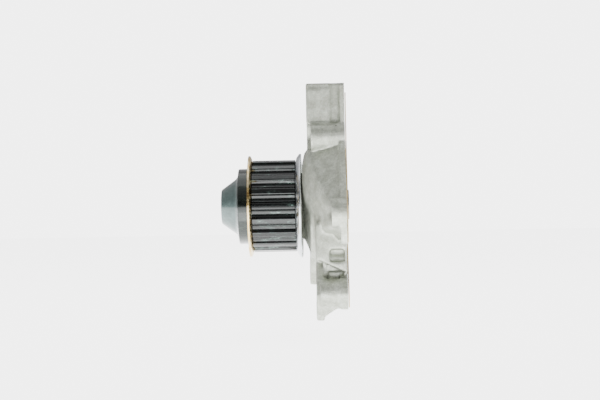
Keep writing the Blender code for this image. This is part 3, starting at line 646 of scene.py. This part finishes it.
nylon, tree, shader, place = new_material("nylon_glass_filled_moulded", 0.0, 0.48)
specks = noise(tree, place, 0.0005, 3.0, 0.7)
tree.links.new(ramp(tree, specks, [(0.3, "9C8C62"), (0.7, "C4B58A")]), shader.inputs["Base Color"])
tree.links.new(bump(tree, specks, 0.00001), shader.inputs["Normal"])
polished, tree, shader, place = new_material("chrome_steel_polished", 1.0, 0.07)
swirl = noise(tree, place, 0.0008, 3.0, 0.6)
tree.links.new(ramp(tree, swirl, [(0.3, "C2C4C6"), (0.7, "D6D8DA")]), shader.inputs["Base Color"])
tree.links.new(spread(tree, swirl, 0.3, 0.7, 0.05, 0.11), shader.inputs["Roughness"])

BALLS_IN_ROW = 7
BALL_CIRCLE = 0.01055
for row, x in (("front", -0.0455), ("rear", -0.0275)):
    first_angle = 2 * math.pi * 0.25 / BALLS_IN_ROW
    cage = turned(f"ball_cage_{row}", [
        (x - 0.0042, 0.0092, 0.0002), (x - 0.0042, 0.0119, 0.0003), (x + 0.0042, 0.0119, 0.0003),
        (x + 0.0042, 0.0092, 0.0002),
    ], nylon)
    bm = bmesh.new()
    bmesh.ops.create_cone(
        bm, cap_ends=True, segments=40, radius1=0.0034, radius2=0.0034, depth=0.008,
        matrix=Matrix.Translation((x, BALL_CIRCLE, 0.0)) @ Matrix.Rotation(math.pi / 2, 4, "Y")
        @ Matrix.Rotation(math.pi / 2, 4, "X") @ Matrix.Rotation(math.pi / 2, 4, "Y"),
    )
    pockets = around_axis(f"pockets_{row}", mesh_object("pocket", bm), BALLS_IN_ROW, nylon, first_angle)
    combine(cage, pockets, "DIFFERENCE")
    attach(cage, f"{row}_ball_row")
    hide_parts(f"bearing_cage_{row}")

    bm = bmesh.new()
    bmesh.ops.create_uvsphere(
        bm, u_segments=48, v_segments=24, radius=0.0031, matrix=Matrix.Translation((x, BALL_CIRCLE, 0.0)),
    )
    balls = around_axis(f"ball_row_{row}", mesh_object("ball", bm), BALLS_IN_ROW, polished, first_angle)
    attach(balls, f"{row}_ball_row")
    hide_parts(*[f"ball_{row}_{number}" for number in range(1, BALLS_IN_ROW + 1)])


# ---------------------------------------------------------------------------------------------
# Face seal. A drawn brass cup pressed in the housing holds rubber bellows and a wire spring, which
# press a lapped carbon ring on a ceramic ring that turns with the impeller in a rubber boot.

brass, tree, shader, place = new_material("brass_deep_drawn", 1.0, 0.30)
rings = noise(tree, lathe_place(tree, place), 0.0003, 3.0, 0.6)
tarnish = noise(tree, place, 0.003, 4.0, 0.6)
tree.links.new(ramp(tree, tarnish, [(0.3, "A8843F"), (0.7, "CFAE63")]), shader.inputs["Base Color"])
tree.links.new(spread(tree, tarnish, 0.3, 0.7, 0.24, 0.40), shader.inputs["Roughness"])
tree.links.new(bump(tree, rings, 0.000008), shader.inputs["Normal"])
cup = turned("face_seal_cup", [
    (-0.0167, 0.0092), (-0.0167, 0.0142, 0.0006), (-0.0096, 0.0142, 0.0003), (-0.0096, 0.0170, 0.0002),
    (-0.0087, 0.0170, 0.0002), (-0.0087, 0.0134, 0.0004), (-0.0159, 0.0134, 0.0005), (-0.0159, 0.0092),
], brass)
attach(cup, "pump_body")
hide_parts("seal_cup")

bellows = turned("face_seal_bellows", [
    (-0.0155, 0.0120, 0.0002), (-0.0147, 0.0120, 0.0002), (-0.0147, 0.0103, 0.0003),
    (-0.0130, 0.0096, 0.0006),
    (-0.0115, 0.0104, 0.0006), (-0.0098, 0.0096, 0.0006), (-0.0083, 0.0104, 0.0004),
    (-0.0083, 0.0128, 0.0002),
    (-0.0075, 0.0128, 0.0002), (-0.0075, 0.0092, 0.0003), (-0.0098, 0.0086, 0.0005),
    (-0.0115, 0.0094, 0.0005),
    (-0.0130, 0.0086, 0.0005), (-0.0155, 0.0092, 0.0002),
], black_rubber)
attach(bellows, "pump_body")
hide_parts("seal_bellows")

wire, tree, shader, place = new_material("spring_wire_drawn", 1.0, 0.24)
draw_marks = noise(tree, place, 0.0002, 3.0, 0.6)
tree.links.new(ramp(tree, draw_marks, [(0.3, "8E9092"), (0.7, "B4B6B8")]), shader.inputs["Base Color"])
tree.links.new(spread(tree, draw_marks, 0.3, 0.7, 0.18, 0.32), shader.inputs["Roughness"])
group = bpy.data.node_groups.new("coil_spring", "GeometryNodeTree")
inputs = {}
for label, value in (
    ("Turns", 3.5), ("Coil radius", 0.0116), ("Length", 0.0049), ("Wire radius", 0.00045),
    ("Front", -0.0140),
):
    inputs[label] = (group.interface.new_socket(label, in_out="INPUT", socket_type="NodeSocketFloat"), value)
group.interface.new_socket("Geometry", in_out="OUTPUT", socket_type="NodeSocketGeometry")
given = add(group, "NodeGroupInput").outputs
coil = add(group, "GeometryNodeCurveSpiral", {
    "Resolution": 48, "Rotations": given["Turns"], "Start Radius": given["Coil radius"],
    "End Radius": given["Coil radius"], "Height": given["Length"],
})
section = add(group, "GeometryNodeCurvePrimitiveCircle", {"Resolution": 12, "Radius": given["Wire radius"]})
tube = add(group, "GeometryNodeCurveToMesh", {
    "Curve": coil.outputs["Curve"], "Profile Curve": section.outputs["Curve"], "Fill Caps": True,
})
where = add(group, "ShaderNodeCombineXYZ", {"X": given["Front"]}).outputs["Vector"]
laid = add(group, "GeometryNodeTransform", {
    "Geometry": tube.outputs["Mesh"], "Translation": where, "Rotation": (0.0, math.pi / 2, 0.0),
})
real = add(group, "GeometryNodeRealizeInstances", {"Geometry": laid.outputs["Geometry"]})
painted = add(group, "GeometryNodeSetMaterial", {"Geometry": real.outputs["Geometry"], "Material": wire})
add(group, "NodeGroupOutput", {"Geometry": painted.outputs["Geometry"]})
spring = mesh_object("face_seal_spring", bmesh.new())
step = spring.modifiers.new("coil", "NODES")
step.node_group = group
for socket, value in inputs.values():
    step[socket.identifier] = value
settled(spring)
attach(spring, "pump_body")
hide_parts("seal_spring")

graphite, tree, shader, place = new_material("carbon_graphite_lapped", 0.0, 0.42)
flecks = noise(tree, place, 0.0004, 4.0, 0.7)
tree.links.new(ramp(tree, flecks, [(0.3, "1C1D1E"), (0.7, "33353A")]), shader.inputs["Base Color"])
tree.links.new(spread(tree, flecks, 0.3, 0.7, 0.32, 0.52), shader.inputs["Roughness"])
carbon = turned("face_seal_carbon", [
    (-0.0072, 0.0093, 0.0002), (-0.0072, 0.0126, 0.0002), (-0.0060, 0.0126, 0.0002),
    (-0.0060, 0.0120, 0.0002),
    (-0.0056, 0.0118), (-0.0056, 0.0100), (-0.0060, 0.0093, 0.0002),
], graphite)
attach(carbon, "pump_body")
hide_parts("seal_carbon_ring")

alumina, tree, shader, place = new_material("alumina_lapped", 0.0, 0.30)
cloud = noise(tree, place, 0.002, 4.0, 0.6)
tree.links.new(ramp(tree, cloud, [(0.3, "DAD5C6"), (0.7, "EEEADF")]), shader.inputs["Base Color"])
tree.links.new(spread(tree, cloud, 0.3, 0.7, 0.24, 0.36), shader.inputs["Roughness"])
mating = turned("face_seal_ceramic", [
    (-0.0053, 0.0088, 0.0002), (-0.0053, 0.0124, 0.0002), (-0.0038, 0.0124, 0.0002),
    (-0.0038, 0.0088, 0.0002),
], alumina)
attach(mating, "rotor")
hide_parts("seal_mating_ring")
boot = turned("face_seal_boot", [
    (-0.0055, 0.0127, 0.0002), (-0.0055, 0.0141, 0.0004), (-0.0027, 0.0141, 0.0004),
    (-0.0027, 0.0090, 0.0002),
    (-0.0035, 0.0090, 0.0002), (-0.0035, 0.0127, 0.0002),
], black_rubber)
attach(boot, "rotor")
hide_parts("mating_ring_boot")


# ---------------------------------------------------------------------------------------------
# Impeller. A grey iron casting with seven curved vanes that face the block. Its hub is bored and
# faced, and it is pressed on the thin end of the spindle.

iron, tree, shader, place = new_material("grey_iron_sand_cast", 0.75, 0.55)
grain = noise(tree, place, 0.0005, 4.0, 0.6)
rust = noise(tree, place, 0.006, 4.0, 0.6)
skin = ramp(tree, grain, [(0.3, "3A3835"), (0.7, "5B5852")])
skin = blend(tree, spread(tree, rust, 0.55, 0.8, 0.0, 0.35), skin, linear("6A4E38"))
tree.links.new(skin, shader.inputs["Base Color"])
tree.links.new(spread(tree, grain, 0.3, 0.7, 0.46, 0.66), shader.inputs["Roughness"])
tree.links.new(bump(tree, grain, 0.00008), shader.inputs["Normal"])
iron_faced, tree, shader, place = new_material("grey_iron_faced", 1.0, 0.32)
rings = noise(tree, lathe_place(tree, place), 0.0003, 3.0, 0.6)
tree.links.new(ramp(tree, rings, [(0.3, "6E6D6A"), (0.7, "8F8E8B")]), shader.inputs["Base Color"])
tree.links.new(bump(tree, rings, 0.000012), shader.inputs["Normal"])

impeller = turned("pump_impeller", [
    (-0.0076, 0.0144), (-0.0076, 0.0250, 0.0005), (-0.0054, 0.0250, 0.0005), (-0.0054, 0.0178, 0.0012),
    (-0.0012, 0.0150, 0.0010), (-0.0012, 0.0090, 0.0006), (0.0012, 0.0090, 0.0004),
    (0.0012, 0.0063, 0.0003),
    (-0.0024, 0.0063), (-0.0024, 0.0144),
], iron)
bm = bmesh.new()
line = []
for i in range(17):
    share = i / 16
    radius = 0.0158 + (0.0247 - 0.0158) * share
    angle = -math.radians(34) * share
    line.append(Vector((math.cos(angle), math.sin(angle))) * radius)
sides = ([], [])
for i, point in enumerate(line):
    run = (line[min(i + 1, 16)] - line[max(i - 1, 0)]).normalized()
    half = 0.0010 * min(1.0, 0.55 + 0.45 * math.sin(math.pi * (0.12 + 0.76 * i / 16)))
    offset = Vector((-run.y, run.x)) * half
    sides[0].append(point + offset)
    sides[1].append(point - offset)
outline = sides[0] + sides[1][::-1]
middle = sum(outline, Vector((0.0, 0.0))) / len(outline)
levels = []
for x, inset in ((-0.0062, 0.0), (-0.0006, 0.0), (-0.0003, 0.10), (-0.0002, 0.22)):
    ring = []
    for i, point in enumerate(outline):
        spine = line[i] if i < 17 else line[33 - i]
        ring.append(bm.verts.new((x, *(point.lerp(spine, inset)))))
    levels.append(ring)
bm.faces.new(levels[0])
bm.faces.new(levels[-1])
for lower, upper in zip(levels, levels[1:]):
    for i in range(len(outline)):
        j = (i + 1) % len(outline)
        bm.faces.new((lower[i], lower[j], upper[j], upper[i]))
vanes = around_axis("vanes", mesh_object("vane", bm), 7, iron)
combine(impeller, vanes, "UNION")
impeller.data.materials.clear()
impeller.data.materials.append(iron)
impeller.data.materials.append(iron_faced)
for face in impeller.data.polygons:
    face.material_index = int(face.center.x > -0.0011 and math.hypot(*face.center.yz) < 0.0092)
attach(impeller, "rotor")
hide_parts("impeller")


# ---------------------------------------------------------------------------------------------
# Stage. A pale seamless floor under the pump, a large soft light overhead, a low lamp on the floor
# in front that lifts the foot, and a bright surround that darkens level with the camera.

chalk = bpy.data.materials.new("white_paper_sweep")
chalk.use_nodes = True
shader = chalk.node_tree.nodes["Principled BSDF"]
shader.inputs["Base Color"].default_value = (0.92, 0.92, 0.92, 1.0)
shader.inputs["Roughness"].default_value = 0.9
shader.inputs["Emission Color"].default_value = (1.0, 1.0, 1.0, 1.0)
shader.inputs["Emission Strength"].default_value = 4.2
bm = bmesh.new()
bmesh.ops.create_grid(
    bm, x_segments=1, y_segments=1, size=3.0, matrix=Matrix.Translation((0, 0, CAD_LOW.z - 0.012)),
)
floor = mesh_object("floor", bm, chalk)

surround = bpy.data.worlds.new("white_surround")
bpy.context.scene.world = surround
surround.use_nodes = True
tree = surround.node_tree
direction = add(tree, "ShaderNodeTexCoord").outputs["Generated"]
parts = add(tree, "ShaderNodeSeparateXYZ", {"Vector": direction}).outputs
beside = spread(tree, parts["Y"], -0.80, 0.25, 0.03, 1.0)
overhead = spread(tree, parts["Z"], 0.12, 0.85, 0.0, 0.9)
level = maths(tree, "MAXIMUM", beside, overhead)
seen = add(tree, "ShaderNodeLightPath").outputs["Is Camera Ray"]
strength = maths(tree, "ADD", maths(tree, "MULTIPLY", level, 0.60), maths(tree, "MULTIPLY", seen, 4.4))
tree.links.new(strength, tree.nodes["Background"].inputs["Strength"])
tree.nodes["Background"].inputs["Color"].default_value = (1.0, 1.0, 1.0, 1.0)

lamp = bpy.data.lights.new("overhead_softbox", "AREA")
lamp.shape = "RECTANGLE"
lamp.size, lamp.size_y, lamp.energy = 1.6, 1.2, 8.0
softbox = bpy.data.objects.new("overhead_softbox", lamp)
softbox.location = (-0.1, 0.1, 1.1)
bpy.context.scene.collection.objects.link(softbox)

card = bpy.data.lights.new("low_front_card", "AREA")
card.shape = "RECTANGLE"
card.size, card.size_y, card.energy = 0.34, 0.16, 0.55
low_card = bpy.data.objects.new("low_front_card", card)
low_card.location = (0.03, -0.17, CAD_LOW.z - 0.010)
low_card.rotation_euler = (math.radians(180.0), 0.0, 0.0)
low_card.visible_camera = False
bpy.context.scene.collection.objects.link(low_card)

target = Vector((-0.0289, 0.0, 0.0034))
distance = 0.98
yaw = math.radians(1.2)
optics = bpy.data.cameras.new("camera")
optics.sensor_width = 36.0
optics.lens = 95.8
camera = bpy.data.objects.new("camera", optics)
bpy.context.scene.collection.objects.link(camera)
spot = target + distance * Vector((math.sin(yaw), -math.cos(yaw), 0.0))
facing = (target - spot).to_track_quat("-Z", "Y").to_matrix().to_4x4()
camera.matrix_world = Matrix.Translation(spot) @ facing @ Matrix.Rotation(math.radians(-1.1), 4, "Z")
bpy.context.scene.camera = camera
